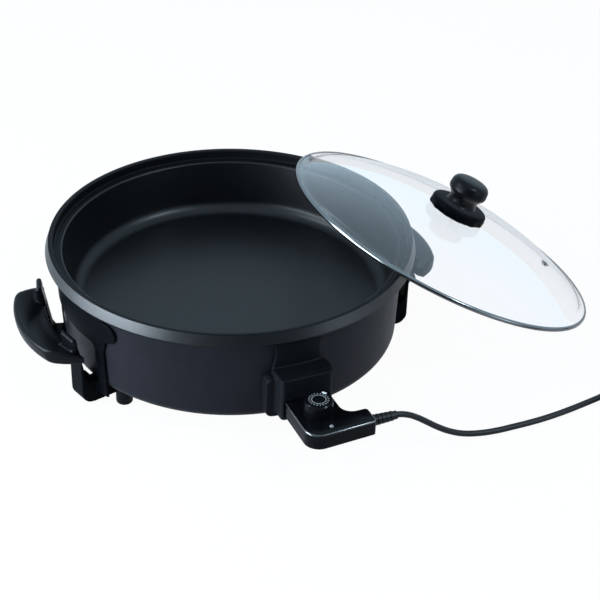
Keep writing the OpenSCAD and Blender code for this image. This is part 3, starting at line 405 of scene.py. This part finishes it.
ink_links.new(ink_place.outputs["Object"], ink_centre.inputs[0])
ink_flat = ink_nodes.new("ShaderNodeVectorMath")
ink_flat.operation = "MULTIPLY"
ink_flat.inputs[1].default_value = (1, 1, 0)
ink_links.new(ink_centre.outputs["Vector"], ink_flat.inputs[0])
ink_reach = ink_nodes.new("ShaderNodeVectorMath")
ink_reach.operation = "LENGTH"
ink_links.new(ink_flat.outputs["Vector"], ink_reach.inputs[0])


def ink_math(operation, first, second):
    """One step of arithmetic between two inputs, each a socket or a number."""
    step = ink_nodes.new("ShaderNodeMath")
    step.operation = operation
    for entry, value in zip(step.inputs, (first, second)):
        if isinstance(value, (int, float)):
            entry.default_value = value
        else:
            ink_links.new(value, entry)
    return step.outputs[0]


reach = ink_reach.outputs["Value"]
ring = ink_math("COMPARE", reach, ring_r)
ring.node.inputs[2].default_value = ring_half
split = ink_nodes.new("ShaderNodeSeparateXYZ")
ink_links.new(ink_flat.outputs["Vector"], split.inputs["Vector"])
around = ink_math("ARCTAN2", split.outputs["Y"], split.outputs["X"])
step_share = ink_math("FRACT", ink_math("MULTIPLY", around, tick_count / (2 * pi)), 0)
tick = ink_math("LESS_THAN", step_share, tick_share)
tick_band = ink_math("COMPARE", reach, tick_r)
tick_band.node.inputs[2].default_value = tick_half
marks = ink_math("MAXIMUM", ring, ink_math("MULTIPLY", tick, tick_band))
ink_mix = ink_nodes.new("ShaderNodeMix")
ink_mix.data_type = "RGBA"
ink_mix.inputs["A"].default_value = (0.003, 0.003, 0.0034, 1)
ink_mix.inputs["B"].default_value = (0.32, 0.33, 0.34, 1)
ink_links.new(marks, ink_mix.inputs["Factor"])
ink_links.new(ink_mix.outputs["Result"], ink_nodes["Principled BSDF"].inputs["Base Color"])
dial_print.data.materials.append(print_ink)
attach(dial_print, "dial")
print_white = coating("print_white", (0.8, 0.8, 0.8), 0.5, depth=0.0)
dress(print_white, "dial_pointer")


# Inner works: steel screws, nuts, shaft and heater, nickel-plated pins, stamped brass contacts,
# cast aluminium plates and ceramic bodies. They keep their CAD shapes, and most are hidden.
def metal(name, colour, roughness):
    """Plain metal with a slight mottling of its gloss."""
    material = coating(name, colour, roughness, grain=1200, depth=0.03, mottle=0.12)
    material.node_tree.nodes["Principled BSDF"].inputs["Metallic"].default_value = 1.0
    return material


plain_steel = metal("plain_steel", (0.55, 0.55, 0.56), 0.3)
dress(plain_steel, "cover_screws", "handle_screws", "handle_nuts", "bracket_screws", "bracket_washers",
      "controller_screws", "dial_shaft", "knob_screw", "knob_washer", "heating_element")
nickel = metal("nickel_plate", (0.72, 0.70, 0.66), 0.18)
dress(nickel, "terminal_pins", "probe_rod", "plug_pins")
brass = metal("stamped_brass", (0.7, 0.52, 0.24), 0.28)
dress(brass, "earth_strip", "contact_sleeves", "contact_lever")
cast_aluminium = metal("cast_aluminium", (0.6, 0.6, 0.61), 0.5)
dress(cast_aluminium, "heat_spreader", "probe_sleeve", "bottom_cover")
ceramic = coating("ceramic_body", (0.6, 0.57, 0.5), 0.6)
dress(ceramic, "thermostat_frame", "neon_lamp")


# Lid: a tempered glass dome in a thin polished steel band, with a steam vent in an eyelet.
# It leans loose on the rim and the table, so it is turned upright and then leaned as a whole.
def clear(name, colour, wave, depth):
    """Clear glass with the slow waviness that tempering leaves in it."""
    material = bpy.data.materials.new(name)
    material.use_nodes = True
    nodes, links = material.node_tree.nodes, material.node_tree.links
    shader = nodes["Principled BSDF"]
    shader.inputs["Base Color"].default_value = (*colour, 1)
    shader.inputs["Roughness"].default_value = 0.0
    shader.inputs["IOR"].default_value = 1.5
    shader.inputs["Specular IOR Level"].default_value = 0.25
    shader.inputs["Transmission Weight"].default_value = 1.0
    place = nodes.new("ShaderNodeTexCoord")
    slow = nodes.new("ShaderNodeTexNoise")
    slow.inputs["Scale"].default_value = wave
    links.new(place.outputs["Object"], slow.inputs["Vector"])
    ripple = nodes.new("ShaderNodeBump")
    ripple.inputs["Strength"].default_value = depth
    ripple.inputs["Distance"].default_value = 0.001
    links.new(slow.outputs["Fac"], ripple.inputs["Height"])
    links.new(ripple.outputs["Normal"], shader.inputs["Normal"])
    return material


lid_tilt, lid_way = radians(26.4), radians(-3.6)
band_low, band_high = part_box("lid_band")
lid_r = 0.185
lid_centre = (band_low + band_high) / 2
lean = Matrix.Translation(lid_centre) @ Matrix.Rotation(lid_way, 4, "Z") @ Matrix.Rotation(lid_tilt, 4, "Y")


def leaned(piece):
    """Puts a piece that was made upright at the origin into the leaned lid's place, for good."""
    piece.data.transform(lean)
    piece.data.update()
    return piece


glass_t, glass_round, band_gap, flat_w = 0.004, 0.001, 0.0011, 0.005
dome_h, dome_power, dome_steps = 0.033, 2.8, 28
edge_r = lid_r - band_gap
dome_edge = edge_r - flat_w
dome_rise = dome_h - glass_t / 2


def dome(r):
    """Height of the dome's outer face at a distance from its middle."""
    return dome_h - dome_rise * (r / dome_edge) ** dome_power


dome_reach = [dome_edge * i / dome_steps for i in range(dome_steps + 1)]
glass_profile = [(r, dome(r)) for r in dome_reach]
glass_profile += arc(edge_r - glass_round, glass_t / 2 - glass_round, glass_round, 90, 0, 3)
glass_profile += arc(edge_r - glass_round, glass_round - glass_t / 2, glass_round, 0, -90, 3)
glass_profile += [(r, dome(r) - glass_t) for r in reversed(dome_reach)]
lid_glass = leaned(turned("lid_dome", glass_profile, steps=160, closed=False))
lid_glass.data.materials.append(clear("lid_clear_glass", (0.962, 0.968, 0.984), wave=14, depth=0.05))
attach(lid_glass, "lid")
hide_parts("lid_glass")
polished = metal("polished_steel", (0.2, 0.205, 0.21), 0.14)
dress(polished, "vent_eyelet")
band_w, band_half, band_round = 0.0029, 0.0026, 0.0022
band_profile = arc(lid_r - band_round, band_half - band_round, band_round, 90, 0, 6)
band_profile += arc(lid_r - band_round, band_round - band_half, band_round, 0, -90, 6)
band_profile += [(lid_r - band_w, -band_half), (lid_r - band_w, band_half)]
lid_band = leaned(turned("lid_steel_band", band_profile, steps=160))
lid_band.data.materials.append(polished)
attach(lid_band, "lid")
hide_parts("lid_band")


# Knob: a black moulded mushroom cap on a short neck, over a skirt with small lugs around its foot, in the
# darker, duller copy of the black: painted shade at the knob's foot.
# A screw from below holds both to the middle of the dome. Mirror reflections leave both out.
skirt_profile = [(0, 0.0334), (0.0298, 0.0334), (0.0318, 0.0342), (0.0326, 0.0358), (0.033, 0.041)]
skirt_profile += arc(0.0292, 0.0418, 0.0038, 0, 72, 6) + [(0.0245, 0.0458), (0.0185, 0.0463), (0, 0.0464)]
knob_profile = [(0, 0.0462), (0.0182, 0.0462), (0.0172, 0.0474), (0.0166, 0.0492), (0.0165, 0.0515)]
knob_profile += [(0.0169, 0.0537), (0.0178, 0.0558), (0.0191, 0.0575), (0.0207, 0.0591), (0.0219, 0.0607)]
knob_profile += [(0.0225, 0.0626), (0.0226, 0.0646), (0.0223, 0.0668)]
knob_profile += arc(0.0142, 0.0678, 0.008, 4, 74, 8) + [(0.012, 0.0763), (0.007, 0.0769), (0, 0.077)]
lug_count, lug_share, lug_grow, foot_reach, foot_top = 12, 0.4, 1.04, 0.0312, 0.0385


def lugged(skirt):
    """Draws small lugs out of the skirt's foot, evenly spaced."""
    bpy.ops.object.mode_set(mode="EDIT")
    bpy.ops.mesh.select_mode(type="VERT")
    bpy.ops.mesh.select_all(action="DESELECT")
    bpy.ops.object.mode_set(mode="OBJECT")
    for corner in skirt.data.vertices:
        turn = atan2(corner.co.y, corner.co.x) * lug_count / (2 * pi) % 1
        corner.select = corner.co.xy.length > foot_reach and corner.co.z < foot_top and turn < lug_share
    bpy.ops.object.mode_set(mode="EDIT")
    bpy.ops.transform.resize(value=(lug_grow, lug_grow, 1), center_override=(0, 0, 0))
    bpy.ops.object.mode_set(mode="OBJECT")


for name, profile, node in (("knob_flared_skirt", skirt_profile, "knob_skirt"),
                            ("knob_mushroom", knob_profile, "lid_knob")):
    part = turned(name, profile, steps=96, closed=False)
    if node == "knob_skirt":
        lugged(part)
    leaned(part)
    # The skirt takes the darker, duller copy of the black: painted shade at the knob's foot.
    part.data.materials.append(shade_dark_bakelite if node == "knob_skirt" else bakelite)
    part.visible_glossy = False
    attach(part, "lid")
    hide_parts(node)


# Studio: a broad white sheet under cool soft light. Low panels at the left and right draw the rim,
# a lamp at the front right draws the thermostat's edges, and a black flag keeps the rim's front dark.
# The flag shows only in reflections, and the sheet keeps a faint shadow.
def seen_white(tree, strength, mirrored):
    """A strength for the rays that show the background, a share of it in reflections and none for light."""
    path = tree.nodes.new("ShaderNodeLightPath")
    dim = tree.nodes.new("ShaderNodeMath")
    dim.operation = "MULTIPLY"
    dim.inputs[1].default_value = mirrored
    tree.links.new(path.outputs["Is Glossy Ray"], dim.inputs[0])
    first = tree.nodes.new("ShaderNodeMath")
    first.operation = "MAXIMUM"
    tree.links.new(path.outputs["Is Camera Ray"], first.inputs[0])
    tree.links.new(dim.outputs[0], first.inputs[1])
    both = tree.nodes.new("ShaderNodeMath")
    both.operation = "MAXIMUM"
    tree.links.new(first.outputs[0], both.inputs[0])
    tree.links.new(path.outputs["Is Transmission Ray"], both.inputs[1])
    scale = tree.nodes.new("ShaderNodeMath")
    scale.operation = "MULTIPLY"
    scale.inputs[1].default_value = strength
    tree.links.new(both.outputs[0], scale.inputs[0])
    return scale.outputs[0]


floor_size, floor_drop = 14, 0.0002
bpy.ops.mesh.primitive_plane_add(size=floor_size, location=(0, 0, -floor_drop))
floor = bpy.context.object
floor.name = "studio_floor"
paper = bpy.data.materials.new("studio_paper")
paper.use_nodes = True
paper_tree = paper.node_tree
paper_shader = paper_tree.nodes["Principled BSDF"]
paper_shader.inputs["Base Color"].default_value = (0.5, 0.52, 0.54, 1)
paper_shader.inputs["Roughness"].default_value = 0.9
paper_shader.inputs["Specular IOR Level"].default_value = 0.0
glow = paper_tree.nodes.new("ShaderNodeEmission")
glow.inputs["Strength"].default_value = 1.05
blend = paper_tree.nodes.new("ShaderNodeMixShader")
paper_tree.links.new(seen_white(paper_tree, strength=0.9, mirrored=0.35), blend.inputs["Fac"])
paper_tree.links.new(paper_shader.outputs[0], blend.inputs[1])
paper_tree.links.new(glow.outputs[0], blend.inputs[2])
paper_tree.links.new(blend.outputs[0], paper_tree.nodes["Material Output"].inputs["Surface"])
floor.data.materials.append(paper)

flag_place, flag_tilt, flag_w, flag_h = (-0.475, -1.4, 0.75), radians(140.2), 1.45, 2.343
bpy.ops.mesh.primitive_plane_add(size=1, location=flag_place, rotation=(flag_tilt, 0, 0))
flag = bpy.context.object
flag.name = "front_flag"
flag.scale = (flag_w, flag_h, 1)
bpy.ops.object.transform_apply(location=True, rotation=True, scale=True)
flag.visible_camera = flag.visible_transmission = False
flag.visible_diffuse = flag.visible_shadow = False
velvet = coating("flag_velvet", (0.004, 0.004, 0.004), 0.9, depth=0.0, level=0.0)
flag.data.materials.append(velvet)

world = bpy.data.worlds.new("studio")
bpy.context.scene.world = world
world.use_nodes = True
sky = world.node_tree.nodes["Background"]
path = world.node_tree.nodes.new("ShaderNodeLightPath")
level = world.node_tree.nodes.new("ShaderNodeMix")
level.data_type = "RGBA"
level.inputs["A"].default_value = (0.385, 0.51, 0.605, 1)
level.inputs["B"].default_value = (0.7, 0.93, 1.1, 1)
world.node_tree.links.new(path.outputs["Is Glossy Ray"], level.inputs["Factor"])
backdrop = world.node_tree.nodes.new("ShaderNodeMix")
backdrop.data_type = "RGBA"
backdrop.inputs["B"].default_value = (1, 1, 1, 1)
world.node_tree.links.new(path.outputs["Is Camera Ray"], backdrop.inputs["Factor"])
world.node_tree.links.new(level.outputs["Result"], backdrop.inputs["A"])
world.node_tree.links.new(backdrop.outputs["Result"], sky.inputs["Color"])


def softbox(name, place, target, wide, high, power):
    """A rectangular area lamp aimed at a point."""
    turn = (Vector(target) - Vector(place)).to_track_quat("-Z", "Y").to_euler()
    bpy.ops.object.light_add(type="AREA", location=place, rotation=turn)
    lamp = bpy.context.object
    lamp.name = name
    lamp.data.shape = "RECTANGLE"
    lamp.data.size = wide
    lamp.data.size_y = high
    lamp.data.energy = power
    lamp.data.color = (0.76, 0.89, 1.0)
    lamp.visible_camera = False


softbox("left_panel", (-1.45, -0.02, 0.3), (0, -0.02, 0.13), wide=1.27, high=0.6, power=46)
softbox("right_panel", (0.85, -1.05, 0.2), (0.05, -0.15, 0.12), wide=0.35, high=0.4, power=1.2)
softbox("left_box", (-1.5, 0.33, 1.45), (0, -0.1, 0.1), wide=0.6, high=0.6, power=14)
softbox("front_lamp", (0.99, -1.25, 1.476), (0.05, -0.29, 0.06), wide=0.34, high=0.34, power=14)
